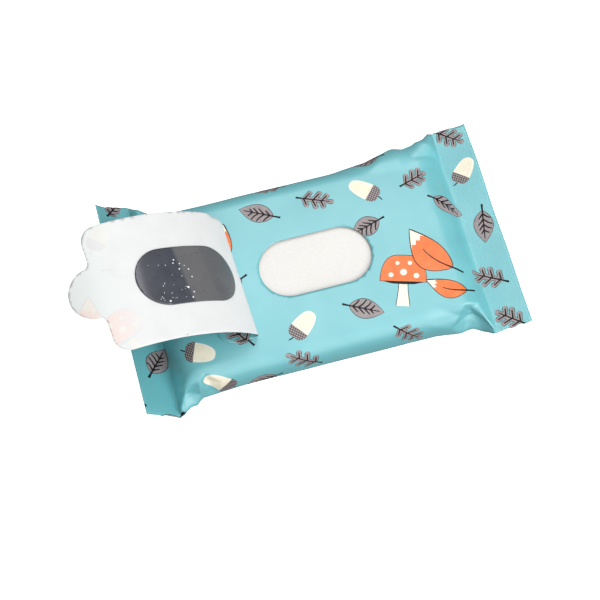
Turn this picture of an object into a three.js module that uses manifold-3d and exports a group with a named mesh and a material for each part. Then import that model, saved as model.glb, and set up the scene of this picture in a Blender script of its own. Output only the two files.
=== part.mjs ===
// A travel pack of wet wipes, opened: a flow-wrapped film pouch with a finger-sized opening in its
// top, the peeled reseal label that curls back over one end, the die-cut piece of film that the
// label lifted out, and the stack of folded wipes inside.
// Millimetres. +X runs along the pack, +Z is up, and the origin is the centre of its flat base.

import * as THREE from 'three';
import { LoftGeometry } from 'three/addons/geometries/LoftGeometry.js';
import { mergeVertices } from 'three/addons/utils/BufferGeometryUtils.js';
import Module from 'manifold-3d';

// ---- driving dimensions ---------------------------------------------------------------------

const PACK_LENGTH = 160; // cut edge to cut edge
const FILM_GIRTH = 188.8; // once around the film tube, the same everywhere along it
const BODY_HEIGHT = 20;
const SIDE_ROUNDING = 9; // radius of the pack's long edges
const FILM = 0.3; // wall of the film

// The two end seals: where the flat band begins, and how high it stands there and at its cut edge.
const LEFT_SEAL = { start: -66.5, startHeight: 9, cutHeight: 20 };
const RIGHT_SEAL = { start: 65.4, startHeight: 12, cutHeight: 15 };
const FULL_FROM = -54.5; // the body has its full height between these two
const FULL_TO = 54.5;
const SEAL_GAP = 0.4; // height of the hollow where it pinches out at a seal
const SIDE_TUCK = 2.2; // how far the side walls are drawn in where the ends taper

const OPENING = { length: 47, width: 25.2, x: 1.4, y: -0.5 };

const FIN = { width: 10.6, thickness: 0.6, lift: 0.15, root: 0.8 }; // back seam, folded flat
const FIN_RECESS = { half: 6.2, ramp: 2.2 }; // the back panel steps up over the folded seam

const LABEL = {
  thickness: 0.25,
  gap: 0.1, // between the stuck end and the film
  halfWidth: 27.2,
  stuck: 9.5, // length still stuck down
  free: 74.1, // length of the peeled part, to its straight end
  cornerRadius: 6.6,
  tabLength: 11.5,
  tabHalfWidth: 11,
};
const CURL = {
  x: -35.5, // the line across the pack where the label leaves the film
  y: 0.58,
  skew: 2.4, // degrees that this line is turned from square
  length: 10.4, // length of label in the tight turn
  turn: 125, // degrees that it turns there
  easing: 1.24, // 0 turns evenly, 1 eases in and out
  relax: 0.016, // radians a millimetre that the peeled part goes on bending
};
const WINDOW = { along: 35.4, across: -1.05, kerf: 0.3, thickness: 0.3, gap: 0.1 };

const WIPE = { count: 15, length: 108, width: 70, layer: 0.32, layerGap: 0.06, gap: 0.1 };
const STACK_BASE = 1.2; // height of the lowest wipe above the base plane

// ---- materials ------------------------------------------------------------------------------

const finish = (color, roughness) => new THREE.MeshStandardMaterial({ color, roughness, metalness: 0 });
const filmFinish = finish('#9cdbe2', 0.35);
const labelFinish = finish('#f2f4f3', 0.55);
const windowFinish = finish('#55565b', 0.2);
const wipeFinish = finish('#f8f7f2', 0.9);

// ---- helpers --------------------------------------------------------------------------------

const { lerp, smoothstep, degToRad } = THREE.MathUtils;
const between = (from, to, steps) => Array.from({ length: steps + 1 }, (_, i) => lerp(from, to, i / steps));

const wasm = await Module();
wasm.setup();

function solidOf(geometry) {
  const plain = geometry.clone();
  plain.deleteAttribute('normal');
  plain.deleteAttribute('uv');
  const merged = mergeVertices(plain, 1e-4);
  return new wasm.Manifold(new wasm.Mesh({
    numProp: 3,
    vertProperties: new Float32Array(merged.attributes.position.array),
    triVerts: new Uint32Array(merged.index.array),
  }));
}

function geometryOf(solid) {
  const { vertProperties, triVerts } = solid.getMesh();
  const geometry = new THREE.BufferGeometry();
  geometry.setAttribute('position', new THREE.BufferAttribute(vertProperties, 3));
  geometry.setIndex(new THREE.BufferAttribute(triVerts, 1));
  geometry.computeVertexNormals();
  return geometry;
}

function loft(sections) {
  return new THREE.BufferGeometry().copy(new LoftGeometry(sections, { capStart: true, capEnd: true }));
}

function named(name, geometry, material) {
  const mesh = new THREE.Mesh(geometry, material);
  mesh.name = name;
  return mesh;
}

// ---- film pouch -----------------------------------------------------------------------------

// 1 in the full body, easing to 0 at the start of each end seal.
function fullness(x) {
  const left = smoothstep(x, LEFT_SEAL.start, FULL_FROM);
  const right = 1 - smoothstep(x, FULL_TO, RIGHT_SEAL.start);
  return Math.min(left, right);
}

const bodyHeight = (x) => lerp(2 * FILM, BODY_HEIGHT, fullness(x));

function middleHeight(x) {
  const seal = x < 0 ? LEFT_SEAL : RIGHT_SEAL;
  const cut = Math.sign(x) * PACK_LENGTH / 2;
  const along = THREE.MathUtils.clamp((x - seal.start) / (cut - seal.start), 0, 1);
  const sealHeight = lerp(seal.startHeight, seal.cutHeight, along);
  return lerp(sealHeight, BODY_HEIGHT / 2, fullness(x));
}

// Half the width that the constant girth leaves for a section of this height and rounding.
const halfWidth = (height, rounding) => FILM_GIRTH / 4 - height / 2 + (2 - Math.PI / 2) * rounding;

const ARC_STEPS = 5;
const ARC_SHARE = 0.48; // of the height, the largest rounding a side can take
const PANEL_STEPS = 8;

// One ring around the pouch at x, drawn in by inset from the outer surface.
function pouchRing(x, inset) {
  const full = bodyHeight(x);
  const middle = middleHeight(x);
  const rounding = Math.min(SIDE_ROUNDING, ARC_SHARE * full);
  const half = halfWidth(full, rounding) - inset;
  const height = full - 2 * inset;
  const radius = Math.min(rounding, ARC_SHARE * height);
  const tuck = SIDE_TUCK * 4 * fullness(x) * (1 - fullness(x));
  const recess = (FIN.thickness + FIN.lift) * fullness(x);
  const ring = [];
  const add = (y, z) => {
    const side = Math.abs(z) / (height / 2);
    const drawn = tuck * Math.cos(Math.min(1, side) * Math.PI / 2) * Math.sign(y);
    const isSide = Math.abs(y) > half - radius - 1e-6;
    ring.push(new THREE.Vector3(x, isSide ? y - drawn : y, middle + z));
  };
  const corner = (sy, sz, from) => {
    for (const step of between(0, 1, ARC_STEPS)) {
      const a = degToRad(from + 90 * step);
      add(sy * (half - radius) + radius * Math.cos(a), sz * (height / 2 - radius) + radius * Math.sin(a));
    }
  };
  corner(1, 1, 0);
  const flat = half - radius;
  for (const y of between(flat, -flat, PANEL_STEPS).slice(1, -1)) add(y, height / 2);
  corner(-1, 1, 90);
  corner(-1, -1, 180);
  const step = FIN_RECESS.half + FIN_RECESS.ramp;
  const shelf = [-FIN_RECESS.half, 0, FIN_RECESS.half];
  for (const y of [-(flat + step) / 2, -step]) add(y, -height / 2);
  for (const y of shelf) add(y, recess - height / 2);
  for (const y of [step, (flat + step) / 2]) add(y, -height / 2);
  corner(1, -1, 270);
  return ring;
}

const LEFT_TAPER = between(LEFT_SEAL.start, FULL_FROM, 9);
const RIGHT_TAPER = between(FULL_TO, RIGHT_SEAL.start, 9);
const BODY = between(FULL_FROM, FULL_TO, 6).slice(1, -1);
const HALF_LENGTH = PACK_LENGTH / 2;
const STATIONS = [-HALF_LENGTH, ...LEFT_TAPER, ...BODY, ...RIGHT_TAPER, HALF_LENGTH];

const outside = loft(STATIONS.map((x) => pouchRing(x, 0)));
const hollowStations = STATIONS.filter((x) => bodyHeight(x) > 2 * FILM + SEAL_GAP);
const hollow = loft(hollowStations.map((x) => pouchRing(x, FILM)));

// The back seam is a fin of film, folded over to one side and joined to the panel along its root.
function finRing(x) {
  const panel = middleHeight(x) - bodyHeight(x) / 2 + (FIN.thickness + FIN.lift) * fullness(x);
  const root = -FIN.width / 2;
  const under = panel - FIN.lift;
  return [
    [FIN.width / 2, under - FIN.thickness],
    [FIN.width / 2, under],
    [root + FIN.root, under],
    [root + FIN.root, panel + FILM / 2],
    [root, panel + FILM / 2],
    [root, under - FIN.thickness],
  ].map(([y, z]) => new THREE.Vector3(x, y, z));
}

const fin = loft(STATIONS.map(finRing));

function stadium({ length, width }) {
  const r = width / 2;
  const c = length / 2 - r;
  const shape = new THREE.Shape();
  shape.moveTo(-c, -r);
  shape.lineTo(c, -r);
  shape.absarc(c, 0, r, -Math.PI / 2, Math.PI / 2, false);
  shape.lineTo(-c, r);
  shape.absarc(-c, 0, r, Math.PI / 2, 1.5 * Math.PI, false);
  return shape;
}

const punch = new THREE.ExtrudeGeometry(stadium(OPENING), {
  depth: BODY_HEIGHT / 2,
  bevelEnabled: false,
  curveSegments: 14,
});
punch.translate(OPENING.x, OPENING.y, BODY_HEIGHT - 1);

const pouch = solidOf(outside).add(solidOf(fin)).subtract(solidOf(hollow)).subtract(solidOf(punch));

// ---- peeled label ---------------------------------------------------------------------------

// The label's path, seen from the side: flat on the film, then a tight turn, then the long free
// part that relaxes. Walked in small steps, so that any distance along it has a place and heading.
const PATH_STEP = 0.05;
const path = (() => {
  const points = [{ x: 0, z: 0, heading: 0 }];
  const turn = degToRad(CURL.turn);
  const bend = (u) => {
    if (u > CURL.length) return CURL.relax;
    const eased = 1 - Math.cos(2 * Math.PI * u / CURL.length);
    return (turn / CURL.length) * (CURL.easing * eased + 1 - CURL.easing);
  };
  const end = LABEL.free + LABEL.tabLength + LABEL.halfWidth;
  for (let u = 0; u < end; u += PATH_STEP) {
    const last = points.at(-1);
    const heading = last.heading + bend(u + PATH_STEP / 2) * PATH_STEP;
    const mean = (heading + last.heading) / 2;
    points.push({
      x: last.x + PATH_STEP * Math.cos(mean),
      z: last.z + PATH_STEP * Math.sin(mean),
      heading,
    });
  }
  return points;
})();

// The point on the label's sticky face at (along, across), moved by depth towards its printed face.
function onLabel(along, across, depth) {
  const c = Math.cos(degToRad(CURL.skew));
  const s = Math.sin(degToRad(CURL.skew));
  const u = c * along + s * across;
  const v = c * across - s * along;
  const place = path[Math.max(0, Math.round(u / PATH_STEP))];
  const x = (u < 0 ? u : place.x) - depth * Math.sin(place.heading);
  const z = place.z + depth * Math.cos(place.heading);
  return new THREE.Vector3(
    CURL.x + c * x - s * v,
    CURL.y + s * x + c * v,
    BODY_HEIGHT + LABEL.gap + z,
  );
}

const roundEnd = (radius, past) => radius - Math.sqrt(Math.max(0, radius ** 2 - past ** 2));

function labelStart(across) {
  const past = Math.max(0, Math.abs(across) - (LABEL.halfWidth - LABEL.cornerRadius));
  return -LABEL.stuck + roundEnd(LABEL.cornerRadius, past);
}

function labelEnd(across) {
  const past = Math.max(0, Math.abs(across) - (LABEL.halfWidth - LABEL.cornerRadius));
  const lobe = LABEL.free - roundEnd(LABEL.cornerRadius, past);
  const tab = Math.sqrt(Math.max(0, 1 - (across / LABEL.tabHalfWidth) ** 2));
  return lobe + LABEL.tabLength * tab;
}

// A sheet on the label's path between two depths, as ribbons that run along it, side by side.
function sheetOnLabel(rows, startOf, endOf, steps, [near, far]) {
  return loft(rows.map((across) => {
    const alongs = steps(startOf(across), endOf(across));
    const back = alongs.map((s) => onLabel(s, across, far));
    const front = alongs.map((s) => onLabel(s, across, near)).reverse();
    return [...back, ...front];
  }));
}

const mirrored = (rows) => [...rows.map((row) => -row).reverse(), 0, ...rows];
const LABEL_ROWS = mirrored([4, 7.5, 9.8, 10.7, 11, 13, 20.6, 23.4, 25.6, 26.8, LABEL.halfWidth]);
const TURN_FROM = -0.5;
const TURN_TO = CURL.length + 1;

function labelSteps(start, end) {
  const middle = LABEL.free - LABEL.cornerRadius - 1;
  return [
    ...between(start, TURN_FROM, 1),
    ...between(TURN_FROM, TURN_TO, 12).slice(1),
    ...between(TURN_TO, middle, 7).slice(1),
    ...between(middle, end, 2).slice(1),
  ];
}

const label = sheetOnLabel(LABEL_ROWS, labelStart, labelEnd, labelSteps, [0, LABEL.thickness]);

// The film that was die-cut from the opening, still stuck to the label's sticky face.
const WINDOW_RADIUS = OPENING.width / 2 - WINDOW.kerf;
const WINDOW_STRAIGHT = (OPENING.length - OPENING.width) / 2;
const windowReach = (row) => WINDOW_STRAIGHT + WINDOW_RADIUS - roundEnd(WINDOW_RADIUS, row - WINDOW.across);
const WINDOW_ROWS = between(-90, 90, 14)
  .map((angle) => WINDOW.across + WINDOW_RADIUS * Math.sin(degToRad(angle)));

const windowPiece = sheetOnLabel(
  WINDOW_ROWS,
  (row) => WINDOW.along - windowReach(row),
  (row) => WINDOW.along + windowReach(row),
  (start, end) => between(start, end, 12),
  [-WINDOW.gap - WINDOW.thickness, -WINDOW.gap],
);

// ---- wipes ----------------------------------------------------------------------------------

const LAYERS = 3;
const LAYER_PITCH = WIPE.layer + WIPE.layerGap;
const WIPE_PITCH = (LAYERS - 1) * LAYER_PITCH + WIPE.layer + WIPE.gap;

// Section of one wipe across the pack: three layers of cloth joined by two rounded folds.
function wipeSection() {
  const outer = WIPE.layer + WIPE.layerGap / 2;
  const inner = WIPE.layerGap / 2;
  const foldAt = WIPE.width / 2 - outer;
  const edge = WIPE.width / 2;
  const firstFold = WIPE.layer + WIPE.layerGap / 2;
  const secondFold = firstFold + LAYER_PITCH;
  const shape = new THREE.Shape();
  shape.moveTo(-edge, 0);
  shape.lineTo(foldAt, 0);
  shape.absarc(foldAt, firstFold, outer, -Math.PI / 2, Math.PI / 2, false);
  shape.lineTo(-foldAt, firstFold + outer);
  shape.absarc(-foldAt, secondFold, inner, 1.5 * Math.PI, Math.PI / 2, true);
  shape.lineTo(edge, secondFold + inner);
  shape.lineTo(edge, secondFold + outer);
  shape.lineTo(-foldAt, secondFold + outer);
  shape.absarc(-foldAt, secondFold, outer, Math.PI / 2, 1.5 * Math.PI, false);
  shape.lineTo(foldAt, firstFold + inner);
  shape.absarc(foldAt, firstFold, inner, Math.PI / 2, -Math.PI / 2, true);
  shape.lineTo(-edge, WIPE.layer);
  return shape;
}

const wipeGeometry = new THREE.ExtrudeGeometry(wipeSection(), {
  depth: WIPE.length,
  bevelEnabled: false,
  curveSegments: 4,
});
wipeGeometry.translate(0, 0, -WIPE.length / 2);
const ACROSS_UP_ALONG = new THREE.Matrix4().makeBasis(
  new THREE.Vector3(0, 1, 0),
  new THREE.Vector3(0, 0, 1),
  new THREE.Vector3(1, 0, 0),
);
wipeGeometry.applyMatrix4(ACROSS_UP_ALONG);

// ---- the pack -------------------------------------------------------------------------------

const pack = new THREE.Group();
pack.add(named('pouch_film', geometryOf(pouch), filmFinish));
pack.add(named('reseal_label', label, labelFinish));
pack.add(named('window_cutout', windowPiece, windowFinish));
for (let i = 0; i < WIPE.count; i += 1) {
  const wipe = named(`wipe_${String(i + 1).padStart(2, '0')}`, wipeGeometry, wipeFinish);
  wipe.position.z = STACK_BASE + i * WIPE_PITCH;
  pack.add(wipe);
}

export default pack;
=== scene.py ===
"""An opened travel pack of wet wipes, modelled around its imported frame.

One web of printed film is cut flat, printed, wrapped into a tube and pinched shut at both ends. The
label is cut from a second film, printed to match and peeled back over the pack.
"""

import math
import random

import bmesh
import bpy
import numpy as np
from mathutils import Matrix, Vector
from mathutils.geometry import delaunay_2d_cdt
from mathutils.kdtree import KDTree


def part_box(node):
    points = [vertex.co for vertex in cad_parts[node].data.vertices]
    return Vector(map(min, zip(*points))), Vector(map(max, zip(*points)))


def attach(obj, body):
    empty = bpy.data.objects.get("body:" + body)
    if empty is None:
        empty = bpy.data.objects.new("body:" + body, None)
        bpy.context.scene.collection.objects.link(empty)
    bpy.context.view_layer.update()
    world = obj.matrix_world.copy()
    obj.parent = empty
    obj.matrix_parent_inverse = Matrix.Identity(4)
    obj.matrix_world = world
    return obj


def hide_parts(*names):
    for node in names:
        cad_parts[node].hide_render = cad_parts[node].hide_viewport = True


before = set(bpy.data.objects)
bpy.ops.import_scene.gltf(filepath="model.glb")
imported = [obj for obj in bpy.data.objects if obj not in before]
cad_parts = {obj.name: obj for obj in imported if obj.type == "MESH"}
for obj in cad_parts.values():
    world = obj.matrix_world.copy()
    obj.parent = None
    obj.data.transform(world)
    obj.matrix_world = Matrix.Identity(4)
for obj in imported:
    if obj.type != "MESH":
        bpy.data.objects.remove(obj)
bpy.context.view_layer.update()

bl_info = {
    "name": "Wet Wipes Pack",
    "version": (1, 0, 0),
    "blender": (4, 5, 0),
    "location": "View3D > Sidebar > Wipes Pack",
    "description": "Film pouch, peeled reseal label and folded wipes, made around a fixed frame",
    "category": "Add Mesh",
}

MM = 0.001  # metres in a millimetre: lengths below are in millimetres unless they say otherwise


def frame_box(node):
    """Lowest and highest corner of a frame node, in millimetres."""
    low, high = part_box(node)
    return low / MM, high / MM


POUCH_LOW, POUCH_HIGH = frame_box("pouch_film")
LABEL_BASE = frame_box("reseal_label")[0].z
WIPE_LOW, WIPE_HIGH = frame_box("wipe_01")
STACK_HIGH = frame_box("wipe_15")[1]
NEXT_WIPE_LOW = frame_box("wipe_02")[0]

PACK_LENGTH = POUCH_HIGH.x - POUCH_LOW.x
CUT = PACK_LENGTH / 2
SEAL_WIDTH = POUCH_HIGH.y - POUCH_LOW.y
WIPE_COUNT = sum(name.startswith("wipe_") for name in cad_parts)

# The pouch's section along the pack, as in the frame.
GIRTH = 2 * SEAL_WIDTH + 0.7
BODY_HEIGHT = 20.0
SIDE_ROUNDING = 9.0
SEAL_THICKNESS = 0.3
FULL_FROM, FULL_TO = -54.5, 54.5
LEFT_TAPER, RIGHT_TAPER = 3.1, 1.9  # how steeply it closes towards each seal
LEFT_SEAL = (-67.2, 6.5, POUCH_HIGH.z)  # where it starts, its height there and at its cut edge
RIGHT_SEAL = (65.4, 12.0, 15.0)

# The back seam, folded flat.
FIN_WIDTH = 10.6
FIN_ROOT = -FIN_WIDTH / 2
FIN_LIFT, FIN_STEP = 0.45, (6.0, 8.6)  # how far the back panel steps up over it, and between which places
FIN_DROPS = (0.27, 0.53)  # how far under the panel its two layers lie

OPENING_LENGTH, OPENING_WIDTH = 47.0, 25.2
OPENING_CENTRE = (1.4, -0.5)

# The label: half its width, its length stuck down and its length from the peel line to the tab.
LABEL_HALF = 27.2
LABEL_STUCK, LABEL_FREE = 9.5, 74.1
LABEL_CORNER = 6.6
TAB_LENGTH, TAB_HALF = 11.5, 11.0
# The line across the pack where it leaves the film.
PEEL_X, PEEL_Y = -35.5, 0.58
PEEL_SKEW = math.radians(2.4)
# It turns over tightly, mostly in the middle of the turn, and then keeps a slight bend.
TURN_LENGTH = 10.4
TURN_ANGLE = math.radians(125)
TURN_EASING = 1.24
FREE_BEND = 0.016  # radians in a millimetre
EDGE_CURL = 4.0  # how much of its far edge curls back on the turn

# The cut-out on the label's back: its middle along and across the label, and its inner face's depth.
CUTOUT_CENTRE = (35.4, -1.05)
CUTOUT_DEPTH = -0.28
CUTOUT_THICKNESS = 0.22
KERF = 0.3  # how much smaller than the opening it is all round

# The wipes' cloth and the height given to one layer of it. Each of a wipe's three layers is this much
# narrower than the folded wipe, and its turns take up this much more.
CLOTH_THICKNESS = 0.28
LAYER_ROOM = 0.32
FOLD_INSET, FOLD_TURNS = 0.7, 1.2

# ---- inks ----

# Each ink's place in a piece's list of materials.
INK_COUNT = 7
GROUND, LEAF, LINE, NUT, CAP, ORANGE, CREAM = range(INK_COUNT)

# Widths of drawn lines, from where they start to where they end.
STALK, BROAD_VEIN, OAK_VEIN = (0.95, 0.4), (0.72, 0.5), (0.68, 0.5)


def between(a, b, steps):
    """Evenly spaced values from a to b, both included."""
    return [a + (b - a) * i / steps for i in range(steps + 1)]


def densify(loop, step):
    """The same closed loop with no side longer than step."""
    out = []
    for (ax, ay), (bx, by) in zip(loop, loop[1:] + loop[:1]):
        parts = math.ceil(math.hypot(bx - ax, by - ay) / step)
        out += [(ax + (bx - ax) * i / parts, ay + (by - ay) * i / parts) for i in range(parts)]
    return out


def stroke(points, start, end):
    """A drawn line through points as a closed loop, its width tapering from start to end."""
    widths = between(start, end, len(points) - 1)
    left, right = [], []
    for i, ((x, y), width) in enumerate(zip(points, widths)):
        bx, by = points[max(0, i - 1)]
        fx, fy = points[min(len(points) - 1, i + 1)]
        length = math.hypot(fx - bx, fy - by)
        nx, ny = -(fy - by) / length * width / 2, (fx - bx) / length * width / 2
        left.append((x + nx, y + ny))
        right.append((x - nx, y - ny))
    return left + right[::-1]


def mirrored(top):
    """A closed loop from its upper half, which starts and ends on the shape's long axis."""
    return top + [(x, -y) for x, y in reversed(top[1:-1])]


def blade(start, length, half, grow=0.0, samples=14):
    """A leaf's outline: round at its base, pointed at its tip."""
    return mirrored(
        [
            (start - grow + (length + 2 * grow) * u, (half + grow) * math.sin(math.pi * u**0.84) ** 0.9)
            for u in between(0, 1, samples)
        ]
    )


def broad_leaf(length, half):
    """An oval leaf with a stem, a midrib and four pairs of veins."""
    base = 0.17 * length
    body = length - base
    veins = []
    for u in (0.1, 0.27, 0.44, 0.61):
        x = base + body * u
        edge = half * math.sin(math.pi * (u + 0.16) ** 0.84)
        # One side's veins run to the leaf's edge and the other side's stop short.
        long_vein = [(x, 0), (x + 0.42 * edge, 0.5 * edge), (x + 0.62 * edge, 0.93 * edge)]
        short_vein = [(x, 0), (x + 0.7 * edge, -0.55 * edge)]
        veins += [(stroke(vein, *BROAD_VEIN), LINE) for vein in (long_vein, short_vein)]
    return [
        (blade(base, body, half, grow=0.24), LINE),
        (blade(base, body, half), LEAF),
        (stroke([(0, 0), (base, 0), (base + 0.88 * body, 0)], *STALK), LINE),
        *veins,
    ]


def finger(root, tip, width):
    """A round-ended lobe from root to tip."""
    dx, dy = tip[0] - root[0], tip[1] - root[1]
    length = math.hypot(dx, dy)
    ux, uy = dx / length, dy / length
    r = width / 2
    profile = [(0, r * 0.8), (0.45 * length, r * 0.92)]
    profile += [(length - r + r * math.sin(a), r * math.cos(a)) for a in between(0, math.pi / 2, 4)]
    loop = profile + [(x, -y) for x, y in reversed(profile[:-1])]
    return [(root[0] + ux * x - uy * y, root[1] + uy * x + ux * y) for x, y in loop]


def oak_leaf(length, half):
    """A leaf of seven round lobes, each with its own vein but the last."""
    base = 0.2 * length
    lobes = []
    for u, reach in ((0.2, 0.9), (0.43, 1.0), (0.65, 0.84)):
        for side in (-1, 1):
            root = (u * length + (0.5 if side > 0 else 0), 0)
            lobes.append((root, (root[0] + 0.62 * reach * half, side * reach * half)))
    lobes.append(((0.7 * length, 0), (length, 0)))
    core = (base - 0.3, 0), (0.8 * length, 0)
    grown = [(finger(*core, 2.7), LINE)] + [(finger(a, b, 2.35), LINE) for a, b in lobes]
    fill = [(finger(*core, 2.3), LEAF)] + [(finger(a, b, 1.9), LEAF) for a, b in lobes]
    veins = [
        (stroke([a, (a[0] + 0.74 * (b[0] - a[0]), 0.74 * (b[1] - a[1]))], *OAK_VEIN), LINE)
        for a, b in lobes[:-1]
    ]
    return [*grown, *fill, (stroke([(0, 0), (base, 0), (0.88 * length, 0)], *STALK), LINE), *veins]


def dome(base, top, half, power, samples=12):
    """Half an egg: flat at base, round at top, along the shape's long axis."""
    angles = between(0, math.pi / 2, samples)
    return mirrored(
        [(base, 0)]
        + [(base + (top - base) * math.sin(a), half * math.cos(a) ** power) for a in angles[:-1]]
        + [(top, 0)]
    )


def acorn(length, half):
    """A nut with a paler rim, in a hatched cup with a short stem."""
    seam = 0.4 * length
    crown = 0.13 * length
    stem = [(-0.1, 0.8), (0.6 * crown, 0.25), (crown + 0.5, 0)]
    return [
        (stroke(stem, 0.4, 0.6), LINE),
        (dome(seam - 0.3, length, half * 0.98, 0.72), CREAM),
        (dome(seam - 0.3, length - 1.0, half * 0.78, 0.72), NUT),
        (dome(seam, crown, half * 1.02, 0.6), CAP),
    ]


def toadstool(length, half):
    """A spotted cap on a pale stalk."""
    brim = 0.48 * length
    foot = 0.3 * half
    stalk = [(0, -foot), (0.3 * length, -0.7 * foot), (brim + 0.5, -0.62 * foot)]
    stalk = stalk + [(x, -y) for x, y in reversed(stalk)]
    under = mirrored([(brim - 1.3, 0), (brim - 1.1, 0.5 * half), (brim, 0.96 * half), (brim + 0.3, 0)])
    spots = [
        (0.66, 0, 0.15), (0.6, 0.54, 0.11), (0.6, -0.56, 0.12), (0.84, 0.27, 0.09), (0.85, -0.27, 0.1),
    ]
    ring = between(0, 2 * math.pi, 12)[:-1]
    dots = [
        ([(length * x + half * r * math.cos(a), half * (y + r * math.sin(a))) for a in ring], CREAM)
        for x, y, r in spots
    ]
    rim = dome(brim - 0.2, length + 0.25, half + 0.25, 0.6)
    edges = [(stroke(stalk[:3], 0.3, 0.3), LINE), (stroke(stalk[3:], 0.3, 0.3), LINE)]
    cap = dome(brim, length, half, 0.6)
    return [(stalk, CREAM), *edges, (rim, LINE), (under, LINE), (cap, ORANGE), *dots]


def autumn_leaf(length, half):
    """An orange leaf that curves to one side, with a pale tip."""
    base = 0.16 * length

    def curved(loop):
        return [(x, y + 0.6 * half * math.sin(math.pi * x / length)) for x, y in loop]

    def width(u):
        return half * math.sin(math.pi * u**0.85)

    tip = [(base + (length - base) * u, width(u) * 0.97) for u in between(0.74, 1, 8)]
    start, edge = tip[0]
    teeth = [(start + (1.3 if i % 2 else 0), edge * (1 - i / 3)) for i in range(7)]
    tip = tip + [(x, -y) for x, y in reversed(tip[1:-1])] + teeth[::-1]
    steps = 18
    us = between(0, 1, steps)
    whole = mirrored([(base + (length - base) * u, width(u)) for u in us])
    rim = mirrored([(base - 0.3 + (length - base + 0.8) * u, width(u) * 1.02 + 0.22) for u in us])
    rim[0], rim[steps] = (base - 0.3, 0), (length + 0.5, 0)
    stem = stroke(curved([(x, 0) for x in between(0, base + 0.6 * (length - base), 8)]), 0.8, 0.3)
    return [(curved(rim), LINE), (curved(whole), ORANGE), (curved(tip), CREAM), (stem, LINE)]


SHAPES = {
    "broad": broad_leaf, "oak": oak_leaf, "acorn": acorn, "toadstool": toadstool, "autumn": autumn_leaf,
}

# What is printed on the film's top and sides: a shape, its stem end, its tip and half its width, on the
# flat film. The first number runs along the pack and the second around it from the top's middle.
PRINTED = [
    ("broad", (-7.4, 22.4), (-22.9, 30.5), 4.1),
    ("oak", (1.1, 29.9), (15.9, 23.4), 4.3),
    ("acorn", (35.9, 19.8), (24.4, 30.2), 4),
    ("oak", (44.1, 23.2), (56.9, 27.2), 4.2),
    ("acorn", (68.1, 20.2), (77.5, 30.4), 3.8),
    ("oak", (66.3, 48), (77.3, 38.4), 4.3),
    ("broad", (54, 16.2), (66.8, 6.8), 3.5),
    ("broad", (34, 11.5), (19, 7), 4.2),
    ("broad", (76, 9), (72.4, -8), 3.9),
    ("oak", (76.3, -27.6), (62.9, -19.2), 4.4),
    ("oak", (77.5, -47.5), (67, -38), 4.4),
    ("oak", (24.5, -36), (35.6, -48.5), 4.4),
    ("broad", (6.8, -21.4), (22.2, -29), 4.1),
    ("broad", (-75.8, -30.2), (-67, -17), 3.9),
    ("acorn", (-61.4, -23.7), (-47.9, -29.1), 4.2),
    ("acorn", (-41.8, -50.2), (-54.2, -38), 4.3),
    ("oak", (-31.8, -29.2), (-40.4, -16.6), 4.3),
    ("broad", (-65.8, -45.6), (-76.5, -54.5), 4.2),
    ("acorn", (-17.4, -31.2), (-5.6, -21.8), 4.1),
    ("oak", (-6.4, -47.8), (-20.6, -36.6), 4.5),
    ("broad", (-23, -48), (-38.5, -52.5), 4.4),
    ("broad", (42.5, 40), (27.5, 44), 4.2),
    ("oak", (-1.5, 39), (-14.5, 42), 4.4),
    ("oak", (-76.4, 42.2), (-70.4, 49.4), 2.7),
    ("broad", (-79.3, -42.6), (-92, -50), 4.2),
    ("broad", (-27.2, 1), (-43, -5.5), 4.3),
    ("autumn", (-32.4, 6), (-31, 25.4), 4.3),
    ("toadstool", (30.4, -28.4), (36.9, -7.4), 9.4),
    ("autumn", (58.8, -20.4), (42.4, 3), 6.3),
    ("autumn", (61.4, -28.6), (42.8, -20.4), 3.7),
    ("oak", (-52, 36), (-62, 24), 4.3),
    ("acorn", (-55, 8), (-68, 1), 4.1),
    ("broad", (-70, 30), (-76.5, 16), 4.2),
]
# On the label, where the film beneath has its opening.
LABEL_ONLY = [
    ("oak", (-17, -9), (-8, 3), 4.2),
    ("acorn", (8, -6.5), (-3.5, 2.5), 4),
]

# ---- the film's shape ----


def smoothstep(x, a, b):
    """0 up to a and 1 from b, eased between them."""
    t = np.clip((x - a) / (b - a), 0, 1)
    return t * t * (3 - 2 * t)


def fullness(x):
    """1 in the full body, falling to 0 at each end seal: steeply at the left, softly at the right."""
    left = np.clip((x - LEFT_SEAL[0]) / (FULL_FROM - LEFT_SEAL[0]), 0, 1)
    right = np.clip((RIGHT_SEAL[0] - x) / (RIGHT_SEAL[0] - FULL_TO), 0, 1)
    softened = (1 - (1 - right) ** RIGHT_TAPER) * smoothstep(right, -0.25, 0.35)
    return np.minimum(1 - (1 - left) ** LEFT_TAPER, softened)


def seal_height(x, seal, cut):
    """Height of a sealed end's middle surface, which slopes evenly to its cut edge."""
    start, low, high = seal
    return low + (high - low) * np.clip((x - start) / (cut - start), 0, 1)


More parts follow.
